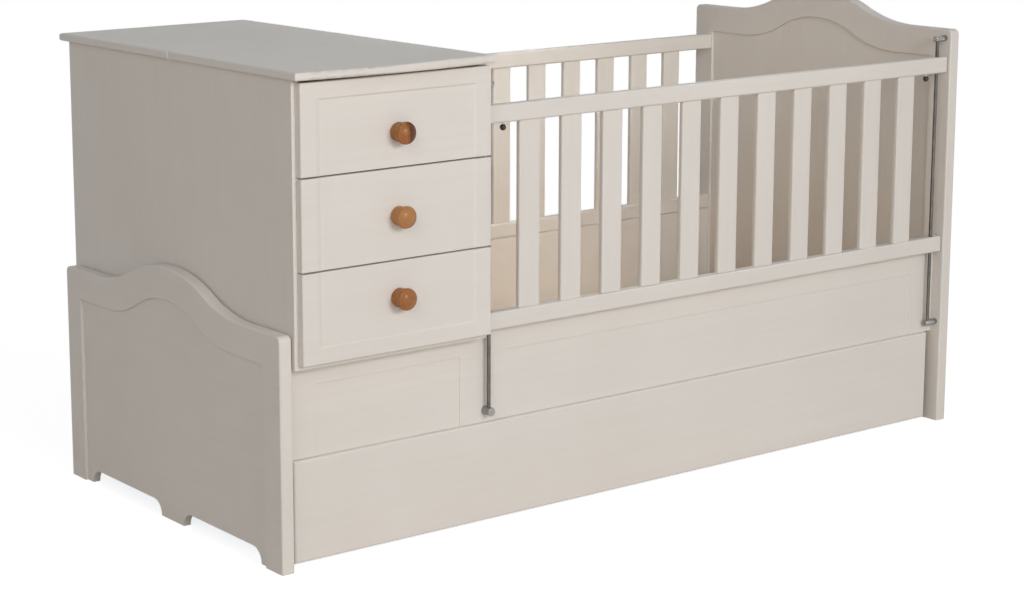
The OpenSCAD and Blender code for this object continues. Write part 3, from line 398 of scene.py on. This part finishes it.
# %% Bevel the long sharp edges
def bevel_sharp(piece, width, wanted, sharpness=SHARP_FROM, segments=2):
    """Bevels the sharp edges for whose two ends wanted() is true."""
    edit(piece, mode="EDGE")
    bpy.ops.mesh.edges_select_sharp(sharpness=sharpness)
    object_mode()
    mesh = piece.data
    sharp = [edge for edge in mesh.edges if edge.select]
    chosen = [edge for edge in sharp if wanted(*(mesh.vertices[i].co for i in edge.vertices))]
    deselect_elements(mesh)
    for edge in chosen:
        edge.select = True
    count = len(chosen)
    if count:
        bpy.ops.object.mode_set(mode="EDIT")
        bpy.ops.mesh.bevel(offset=width, segments=segments, affect="EDGES", clamp_overlap=False)
        object_mode()
    return count


def ease_edges(piece, width):
    return bevel_sharp(piece, width, lambda a, b: (a - b).length > SHORTEST_EDGE)


# %% [markdown]
# Faces that meet at a small angle are shaded as one. A routed field has a slope of a few degrees
# only, which must stay a line, so the fronts are smoothed over a smaller angle than the rest.
# Three fronts also get a touch: the slope of the field is narrowed along the top of the
# upper drawer and the bottom of the lowest one, and the roll-out drawer's front rises to just
# under the panel, so that no dark gap shows between them.

# %% Smooth, and shape the fronts
ROUND_WITHIN = math.radians(38)
FRONTS_WITHIN = math.radians(12)
FACE_WEIGHT = 90
FIELD_DEPTH = 2.5 * MM
SLOPE_OUTER, OUTER_SHIFT = 35 * MM, 4.5 * MM
SLOPE_INNER, INNER_SHIFT = 44 * MM, 10 * MM
SAME_PLACE = 0.1 * MM
JOINT = 0.5 * MM
UPPER_EDGE = 5 * MM


def smooth(piece, angle=ROUND_WITHIN):
    activate(piece)
    bpy.ops.object.shade_smooth_by_angle(angle=angle)
    weighted = piece.modifiers.new("Weighted normals", "WEIGHTED_NORMAL")
    weighted.keep_sharp = True
    weighted.weight = FACE_WEIGHT
    bpy.ops.object.modifier_apply(modifier=weighted.name)


def shift_points(piece, wanted, rise):
    """Moves the vertices for which wanted() is true upwards."""
    edit(piece)
    object_mode()
    deselect_elements(piece.data)
    for vertex in piece.data.vertices:
        vertex.select = wanted(vertex.co)
    bpy.ops.object.mode_set(mode="EDIT")
    bpy.ops.transform.translate(value=(0, 0, rise))
    object_mode()


def near(value, target):
    return abs(value - target) < SAME_PLACE


def crisp_moulding(piece, node):
    """Narrows the slope at the upper or lower end of the fronts' field, so it reads as a line."""
    low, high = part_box(node)
    edge, inward = (high.z, -1) if node == "drawer1_front" else (low.z, 1)
    outer, inner = edge + inward * SLOPE_OUTER, edge + inward * SLOPE_INNER
    face, floor_of_field = low.y, low.y + FIELD_DEPTH
    shift_points(piece, lambda co: near(co.z, inner) and near(co.y, floor_of_field),
                 -inward * INNER_SHIFT)
    shift_points(piece, lambda co: near(co.z, outer) and near(co.y, face), -inward * OUTER_SHIFT)


def close_joint(piece, node):
    """Raises the roll-out front's upper edge to just under the panel."""
    _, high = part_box(node)
    panel_low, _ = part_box("front_panel")
    shift_points(piece, lambda co: co.z > high.z - UPPER_EDGE, panel_low.z - JOINT - high.z)


SHAPED = {"drawer1_front": crisp_moulding, "drawer3_front": crisp_moulding,
          "roll_front": close_joint}


# %% Dress one wooden node
def hand_over(piece, node, material):
    """Finishes the piece and puts it in the place of its CAD node."""
    activate(piece)
    bpy.ops.object.transform_apply(location=True, rotation=True, scale=True)
    piece.data.materials.clear()
    piece.data.materials.append(material)
    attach(piece, node_body[node])
    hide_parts(node)
    return piece


def dress(node, width):
    piece = clean_copy(node, "eased_" + node)
    if node in SHAPED:
        SHAPED[node](piece, node)
    count = ease_edges(piece, width)
    smooth(piece, FRONTS_WITHIN if "front" in node else ROUND_WITHIN)
    hand_over(piece, node, finish_of(node))
    return count


# Widths in millimetres
EASED = {
    # Panels and rails of the frame
    "front_panel": 0.8, "back_panel": 1.2, "back_top_rail": 2.0, "back_bottom_rail": 1.6,
    "back_slats": 1.8, "crib_end_panel": 1.2, "front_bearer": 1.0, "back_ledger": 1.0,
    "base_slats": 1.5,
    # Drop side
    "drop_top_rail": 2.0, "drop_bottom_rail": 2.0, "drop_slats": 1.8,
    # Chest
    "chest_left_front": 0.8, "chest_left_rear": 0.8, "chest_right_front": 0.8,
    "chest_right_rear": 0.8, "chest_top_rear": 2.4, "chest_shelves": 0.8,
    # Drawers
    "drawer1_front": 1.0, "drawer2_front": 1.0, "drawer3_front": 1.0,
    # Roll-out drawer
    "roll_front": 2.2, "roll_sides": 1.0, "roll_back": 1.0,
}
for node, width in EASED.items():
    print("eased", node, "with", dress(node, width * MM), "long edges")

# %% [markdown]
# The end boards were routed round their waved outline with a rounding cutter, and the CAD has
# that border. Only the rim of the routed field is left sharp. Here just the flat faces are
# merged, since the border's narrow strips must stay, and then the rim's edges are picked by their
# place: they lie in the plane of a face, above the feet and under the wave.

# %% Ease the rim of the end boards' fields
MERGE_BORDER = 0.001 * MM
SQUARE_TO_AXIS = 0.99999
FEET = 45 * MM
WAVE_TOP = 100 * MM
WAVE_HALF = 150 * MM
RIM_SHARP_FROM = math.radians(60)
RIM_WIDTH = 1.4 * MM


def dress_board(node, width):
    piece = merged_copy(node, "eased_" + node, within=MERGE_BORDER)
    bpy.ops.mesh.select_mode(type="FACE")
    bpy.ops.mesh.select_all(action="DESELECT")
    object_mode()
    for face in piece.data.polygons:
        face.select = max(abs(c) for c in face.normal) > SQUARE_TO_AXIS
    bpy.ops.object.mode_set(mode="EDIT")
    bpy.ops.mesh.dissolve_limited(angle_limit=FLAT_WITHIN)
    object_mode()
    low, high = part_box(node)
    centre_y = (low.y + high.y) / 2

    def on_rim(a, b):
        middle = (a + b) / 2
        on_a_face = min(abs(a.x - low.x), abs(a.x - high.x)) < MERGE_WITHIN
        in_its_plane = abs(a.x - b.x) < MERGE_WITHIN
        shoulder = middle.z > high.z - WAVE_TOP and abs(middle.y - centre_y) > WAVE_HALF
        long_enough = (a - b).length > SHORTEST_EDGE
        return on_a_face and in_its_plane and not shoulder and middle.z > FEET and long_enough

    count = bevel_sharp(piece, width, on_rim, sharpness=RIM_SHARP_FROM, segments=3)
    smooth(piece)
    hand_over(piece, node, finish_of(node))
    return count


for node in ("footboard", "headboard"):
    print("eased", node, "with", dress_board(node, RIM_WIDTH), "rim edges")

# %% [markdown]
# ## Round parts
# Rods, fittings, sleeves, bolts, axles, wheels and dowels are turned or drawn round, and the
# front half of the chest's top is bowed. Their CAD solids are right, but their facets would show
# in a reflection. A merged copy with its normals smoothed over small angles reads as truly round,
# while the rims stay crisp.

# %% Smooth the round parts
ROUND = ["guide_rods", "rod_fittings", "rod_bushings", "latch_left_bolt", "latch_right_bolt",
         "roll_axles", "wheel_front_left", "wheel_front_right", "wheel_rear_left",
         "wheel_rear_right", "dowels", "chest_top_front"]

for node in ROUND:
    piece = clean_copy(node, "smooth_" + node)
    smooth(piece)
    hand_over(piece, node, finish_of(node))
print("smoothed", len(ROUND), "round nodes")

# %% [markdown]
# ## Turned wooden knobs
# Each drawer has one knob, turned on a lathe: a stout foot that draws in very little, a fine
# step, a head with a rounded rim, a fine groove, and a shallow dome. On a lathe the shape is one
# profile that turns round an axis, and it is modelled the same way: a single vertex is extruded
# along the profile, and the line is spun round the knob's axis.

# %% Lathe: spin a profile round an axis along Y
WELD = 0.02 * MM
ON_AXIS = 0.0005


def turned(name, centre, profile, steps):
    """profile: (distance towards -Y from the centre, radius), from one end of the axis on."""
    bpy.ops.object.select_all(action="DESELECT")
    bpy.ops.mesh.primitive_plane_add(size=1 * MM, location=centre)
    piece = bpy.context.active_object
    piece.name = name
    edit(piece, "SELECT")
    bpy.ops.mesh.merge(type="CENTER")
    start_out, start_radius = profile[0]
    bpy.ops.transform.translate(value=(start_radius, -start_out, 0.0))
    for (out, radius), (next_out, next_radius) in zip(profile, profile[1:]):
        step = (next_radius - radius, out - next_out, 0.0)
        bpy.ops.mesh.extrude_region_move(TRANSFORM_OT_translate={"value": step})
    bpy.ops.mesh.select_all(action="SELECT")
    bpy.ops.mesh.spin(steps=steps, angle=2 * math.pi, center=centre, axis=(0.0, 1.0, 0.0))
    bpy.ops.mesh.select_all(action="SELECT")
    bpy.ops.mesh.remove_doubles(threshold=WELD)
    bpy.ops.mesh.normals_make_consistent(inside=False)
    object_mode()
    return piece


def subdivide_once(piece):
    activate(piece)
    subdivision = piece.modifiers.new("Subdivision", "SUBSURF")
    subdivision.levels = subdivision.render_levels = 1
    bpy.ops.object.modifier_apply(modifier=subdivision.name)
    bpy.ops.object.shade_smooth()


# %% [markdown]
# The knobs were stained by hand and each came out different: the top one deep red-brown, the
# middle one plain honey, the lowest between the two. Across each knob the colour also goes from
# pale to deep towards its right side: that slope is painted shade, laid over the stain and made
# uneven by a slow noise. The rings are noise stretched along the knob's axis, fine pores lie over
# them, and a thin clear gloss closes the surface.

# %% Stained wood with painted shade
KNOB_RADIUS = 22 * MM
KNOB_PORES = (0.78, 0.70, 0.62)
HONEY = (0.50, 0.240, 0.088)
AMBER = (0.42, 0.175, 0.052)
BROWN = (0.30, 0.098, 0.022)
CHESTNUT = (0.115, 0.024, 0.004)
KNOB_STAIN_AND_SHADE = {
    # node: colours, direction in which the painted shade deepens, start and end of the change
    "drawer1_knob": ((AMBER, BROWN, CHESTNUT), (1.0, 0.0, 0.15), 0.30, 0.66),
    "drawer2_knob": ((HONEY, AMBER, BROWN), (0.9, 0.0, -0.5), 0.62, 1.05),
    "drawer3_knob": ((AMBER, BROWN, CHESTNUT), (0.8, 0.0, -0.6), 0.70, 1.25),
}


def stain_and_shade_level(nodes, links, centre, lean, offset):
    """The painted shade's level: rises across the knob towards lean, made uneven by a slow noise.
    """
    coordinates = nodes.new("ShaderNodeTexCoord")
    from_centre = nodes.new("ShaderNodeVectorMath")
    from_centre.operation = "SUBTRACT"
    from_centre.inputs[1].default_value = centre
    links.new(coordinates.outputs["Object"], from_centre.inputs[0])
    across = nodes.new("ShaderNodeVectorMath")
    across.operation = "DOT_PRODUCT"
    across.inputs[1].default_value = Vector(lean).normalized() / (2 * KNOB_RADIUS)
    links.new(from_centre.outputs["Vector"], across.inputs[0])
    uneven = noise(nodes, links, stretched(nodes, links, (70.0, 40.0, 50.0), offset), detail=1.5)
    level = nodes.new("ShaderNodeMath")
    level.operation = "MULTIPLY_ADD"
    level.inputs[1].default_value = 0.9
    links.new(uneven, level.inputs[0])
    links.new(across.outputs["Value"], level.inputs[2])
    return level.outputs["Value"]


def stained_wood_painted_shade(name, colours, centre, lean, stain_shade_from, stain_shade_to):
    """lean: direction across the knob in which painted shade deepens the stain."""
    pale, middle, deep = colours
    material, nodes, links, shader = material_base(name)
    offset = tuple(-c for c in centre)
    trunk = stretched(nodes, links, (300.0, 60.0, 700.0), offset)
    rings = noise(nodes, links, trunk, detail=4.0, roughness=0.55, distortion=0.8)
    pores = noise(nodes, links, stretched(nodes, links, (2400.0, 300.0, 1600.0), offset))
    wood = ramp(nodes, links, rings, [(0.30, middle), (0.66, pale)])
    level = stain_and_shade_level(nodes, links, centre, lean, offset)
    # Mixes the stain towards the deep colour: painted shade on the knob's side towards lean.
    stain_and_shade_mix = nodes.new("ShaderNodeMix")
    stain_and_shade_mix.data_type = "RGBA"
    stain_and_shade_mix.inputs["B"].default_value = (*deep, 1.0)
    links.new(ranged(nodes, links, level, 0.0, 1.0, stain_shade_from, stain_shade_to), stain_and_shade_mix.inputs["Factor"])
    links.new(wood, stain_and_shade_mix.inputs["A"])
    dots = ramp(nodes, links, pores, [(0.34, KNOB_PORES), (0.50, WHITE)])
    colour = multiplied(nodes, links, stain_and_shade_mix.outputs["Result"], dots)
    links.new(colour, shader.inputs["Base Color"])
    links.new(ranged(nodes, links, rings, low=0.42, high=0.30), shader.inputs["Roughness"])
    links.new(bump(nodes, links, pores, strength=0.10, distance=0.05 * MM), shader.inputs["Normal"])
    shader.inputs["Specular IOR Level"].default_value = 0.2
    shader.inputs["Coat Weight"].default_value = 0.14
    shader.inputs["Coat Roughness"].default_value = 0.16
    return material


# %% Turn the knobs
KNOB_SEAT_DEPTH = 2.5 * MM
KNOB_STEPS = 48


def knob_profile(out, radius):
    """Distances from the seat as shares of the knob's length, radii of its largest radius."""
    shares = [
        # Foot with an eased edge, drawing in very little
        (0.000, 0.820), (0.016, 0.852), (0.055, 0.862), (0.145, 0.863), (0.200, 0.863),
        (0.250, 0.859), (0.295, 0.855), (0.338, 0.852), (0.390, 0.853), (0.437, 0.858),
        (0.470, 0.866),
        # Head: a fine step, the rounded rim, a groove and the dome
        (0.494, 0.870), (0.512, 0.872), (0.530, 0.905), (0.565, 0.950), (0.615, 0.985),
        (0.675, 0.998), (0.735, 0.985), (0.785, 0.945), (0.815, 0.895), (0.818, 0.865),
        (0.812, 0.840), (0.824, 0.810), (0.870, 0.720), (0.918, 0.580), (0.956, 0.415),
        (0.982, 0.230), (0.994, 0.080), (0.995, ON_AXIS),
    ]
    return [(0.0, ON_AXIS * radius)] + [(out * a, radius * r) for a, r in shares]


def knob(node):
    low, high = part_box(node)
    front_low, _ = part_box(node.replace("knob", "front"))
    radius = (high.x - low.x) / 2
    seat_y = front_low.y + KNOB_SEAT_DEPTH
    centre = ((low.x + high.x) / 2, seat_y, (low.z + high.z) / 2)
    piece = turned("turned_" + node, centre, knob_profile(seat_y - low.y, radius), KNOB_STEPS)
    subdivide_once(piece)
    colours, lean, stain_shade_from, stain_shade_to = KNOB_STAIN_AND_SHADE[node]
    wood = stained_wood_painted_shade("stained_wood_painted_shade_" + node, colours, centre, lean, stain_shade_from, stain_shade_to)
    return hand_over(piece, node, wood)


for node in KNOB_STAIN_AND_SHADE:
    piece = knob(node)
    print(piece.name, len(piece.data.polygons), "faces")

# %% [markdown]
# ## Ball knobs of the latches
# Two small black balls hang under the top rail. Each is a glossy moulding with a short collar,
# pressed on the pin that reaches through the rail's slot. The ball and its collar are one profile
# again, this time round an upright axis: it is turned round Y first, and the finished piece is
# tipped up by a quarter turn.

# %% Turn the ball knobs
BALL_STEPS = 32
ARC_STEPS = 14
# The collar's radius and height, and the place of its eased rim, as shares of the ball's radius
COLLAR_RADIUS, COLLAR_HEIGHT = 0.42, 0.985
RIM_RADIUS, RIM_HEIGHT = 0.9, 0.99


def ball_profile(radius):
    collar, top = radius * COLLAR_RADIUS, radius * COLLAR_HEIGHT
    start = math.asin(collar / radius)
    angles = [start + (math.pi - start) * k / ARC_STEPS for k in range(ARC_STEPS)]
    arc = [(-radius * math.cos(angle), radius * math.sin(angle)) for angle in angles]
    rim = [(-top, ON_AXIS * radius), (-top, collar * RIM_RADIUS), (-top * RIM_HEIGHT, collar)]
    return rim + arc + [(radius, ON_AXIS * radius)]


def ball_knob(node):
    low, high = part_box(node)
    centre = tuple((low + high) / 2)
    piece = turned("ball_" + node, centre, ball_profile((high.x - low.x) / 2), BALL_STEPS)
    edit(piece, "SELECT")
    bpy.ops.transform.rotate(value=math.radians(90), orient_axis="X", center_override=centre)
    object_mode()
    subdivide_once(piece)
    return hand_over(piece, node, black_gloss)


for node in ("latch_left_ball", "latch_right_ball"):
    piece = ball_knob(node)
    print(piece.name, len(piece.data.polygons), "faces")

# %% [markdown]
# ## Floor
# The bed stands on a pale even floor. Photographs of this kind are lit until the floor reads as
# white paper, and only the contact shadow is left. More light would bleach the bed too, so the
# floor adds a little light of its own, for the camera and for reflections only, and its diffuse
# half still takes the shadow.

# %% Seen directly or in a reflection
def seen_directly(nodes, links):
    """1 for camera, glossy and transmission rays, 0 for the rays that carry diffuse light."""
    path = nodes.new("ShaderNodeLightPath")
    seen = path.outputs["Is Camera Ray"]
    for ray in ("Is Glossy Ray", "Is Transmission Ray"):
        either = nodes.new("ShaderNodeMath")
        either.operation = "MAXIMUM"
        links.new(seen, either.inputs[0])
        links.new(path.outputs[ray], either.inputs[1])
        seen = either.outputs[0]
    return seen


# %% Floor
FLOOR_SIZE = 60.0
FLOOR_DEEP, FLOOR_LIGHT = (0.67, 0.59, 0.51), (0.69, 0.61, 0.53)
LIFT_COLOUR = (0.94, 0.97, 1.0)
LIFT = 0.83

bpy.ops.object.select_all(action="DESELECT")
bpy.ops.mesh.primitive_plane_add(size=FLOOR_SIZE, location=(0.0, 0.0, 0.0))
floor = bpy.context.active_object
floor.name = "floor"

floor_paint, nodes, links, shader = material_base("pale_floor")
shader.inputs["Roughness"].default_value = 0.9
speckle = noise(nodes, links, stretched(nodes, links, EVEN), scale=40.0)
paint = ramp(nodes, links, speckle, [(0.3, FLOOR_DEEP), (0.7, FLOOR_LIGHT)])
links.new(paint, shader.inputs["Base Color"])
lift = nodes.new("ShaderNodeEmission")
lift.inputs["Color"].default_value = (*LIFT_COLOUR, 1.0)
lifted = nodes.new("ShaderNodeMath")
lifted.operation = "MULTIPLY"
lifted.inputs[1].default_value = LIFT
links.new(seen_directly(nodes, links), lifted.inputs[0])
links.new(lifted.outputs[0], lift.inputs["Strength"])
both = nodes.new("ShaderNodeAddShader")
links.new(shader.outputs["BSDF"], both.inputs[0])
links.new(lift.outputs["Emission"], both.inputs[1])
links.new(both.outputs["Shader"], nodes["Material Output"].inputs["Surface"])
floor.data.materials.append(floor_paint)
print("floor:", FLOOR_SIZE, "m wide, lifted by", LIFT)

# %% [markdown]
# ## Light
# The front of the bed is brightest, its top and its foot end are darker. What stands proud, such
# as the drawers over the panel or a rod before it, throws a short soft shadow straight down and
# none to the side. That is one soft lamp in front, about twenty degrees up, a little cool, and a
# weak one on the left. The rest is the room: brightest in front, darker behind and overhead.
# Inside the crib the light goes from board to board and takes the lacquer's warmth, helped by two
# narrow lamps that shine in from above. Seen directly the room is white.

# %% World
ROOM_FRONT, ROOM_BACK, ROOM_CEILING = 0.62, 0.36, 0.22
ROOM_COLOUR = (0.97, 0.98, 1.0)

world = bpy.data.worlds.new("room")
bpy.context.scene.world = world
world.use_nodes = True
nodes, links = world.node_tree.nodes, world.node_tree.links
background = nodes["Background"]
background.inputs["Color"].default_value = (*ROOM_COLOUR, 1.0)
direction = nodes.new("ShaderNodeSeparateXYZ")
coordinates = nodes.new("ShaderNodeTexCoord")
links.new(coordinates.outputs["Generated"], direction.inputs["Vector"])
depth, height = direction.outputs["Y"], direction.outputs["Z"]
walls = ranged(nodes, links, depth, ROOM_FRONT, ROOM_BACK, start=-1.0, end=1.0)
ceiling = ranged(nodes, links, height, 1.0, ROOM_CEILING, start=0.0, end=1.0)
room = nodes.new("ShaderNodeMath")
room.operation = "MULTIPLY"
links.new(walls, room.inputs[0])
links.new(ceiling, room.inputs[1])
strength = nodes.new("ShaderNodeMix")
strength.data_type = "FLOAT"
strength.inputs["B"].default_value = 1.0
links.new(seen_directly(nodes, links), strength.inputs["Factor"])
links.new(room.outputs["Value"], strength.inputs["A"])
links.new(strength.outputs["Result"], background.inputs["Strength"])
print("room: front", ROOM_FRONT, "back", ROOM_BACK, "ceiling", ROOM_CEILING)

# %% Lamps
COOL = (0.965, 0.985, 1.0)
WARM_LEFT = (1.0, 0.985, 0.965)
WARM_INSIDE = (1.0, 0.978, 0.92)


def soft_lamp(name, place, target, size, watts, colour, spread=180.0):
    """spread: how far the light fans out, in degrees."""
    data = bpy.data.lights.new(name, "AREA")
    data.shape = "RECTANGLE"
    data.size, data.size_y = size
    data.energy = watts
    data.color = colour
    data.spread = math.radians(spread)
    lamp = bpy.data.objects.new(name, data)
    bpy.context.scene.collection.objects.link(lamp)
    lamp.location = place
    lamp.rotation_mode = "QUATERNION"
    lamp.rotation_quaternion = (Vector(target) - Vector(place)).to_track_quat("-Z", "Y")
    print(name, watts, "W")


soft_lamp("key_lamp", place=(-0.55, -6.0, 2.60), target=(-0.2, -0.3, 0.5), size=(2.4, 1.8),
          watts=142.0, colour=COOL)
soft_lamp("left_lamp", place=(-4.2, -3.4, 3.0), target=(0.6, 0.1, 0.5), size=(2.5, 2.5),
          watts=46.0, colour=WARM_LEFT)
soft_lamp("crib_lamp", place=(0.12, 0.0, 2.6), target=(0.12, 0.0, 0.2), size=(0.7, 0.35),
          watts=2.0, colour=WARM_INSIDE, spread=20)
soft_lamp("back_lamp", place=(-0.05, -1.15, 2.5), target=(0.22, 0.374, 0.50), size=(0.8, 0.3),
          watts=0.55, colour=WARM_INSIDE, spread=26)

# %% [markdown]
# ## Camera
# The photograph was taken with a long lens from the left front, a little above the bed. The
# camera's place and directions are those at which the bed's corners fall where the photograph
# shows them. The picture is a crop, so its optical centre isn't its middle: the lens shift puts
# it back.

# %% Camera
CAMERA_PLACE = (-3.2085, -3.9383, 1.4684)
CAMERA_TURN = 35.18
CAMERA_TILT = 10.67
CAMERA_ROLL = -0.49
FOCAL_PIXELS = 2317.3
IMAGE_WIDTH, IMAGE_HEIGHT = 1024, 607
CENTRE_X, CENTRE_Y = 370.0, 225.0
SENSOR = 36.0

turn, tilt, roll = (math.radians(a) for a in (CAMERA_TURN, CAMERA_TILT, CAMERA_ROLL))
forward = Vector((math.cos(tilt) * math.sin(turn), math.cos(tilt) * math.cos(turn),
                  -math.sin(tilt)))
level_right = forward.cross(Vector((0.0, 0.0, 1.0))).normalized()
level_up = level_right.cross(forward)
right = math.cos(roll) * level_right + math.sin(roll) * level_up
up = math.cos(roll) * level_up - math.sin(roll) * level_right
axes = Matrix((right, up, -forward)).transposed().to_4x4()

camera_data = bpy.data.cameras.new("camera")
camera_data.sensor_fit = "HORIZONTAL"
camera_data.sensor_width = SENSOR
camera_data.lens = FOCAL_PIXELS * SENSOR / IMAGE_WIDTH
camera_data.shift_x = (IMAGE_WIDTH / 2 - CENTRE_X) / IMAGE_WIDTH
camera_data.shift_y = (CENTRE_Y - IMAGE_HEIGHT / 2) / IMAGE_WIDTH
camera = bpy.data.objects.new("camera", camera_data)
bpy.context.scene.collection.objects.link(camera)
camera.matrix_world = Matrix.Translation(CAMERA_PLACE) @ axes
bpy.context.scene.camera = camera
bpy.context.scene.view_settings.view_transform = "Standard"
print("camera lens", round(camera_data.lens, 1), "mm")
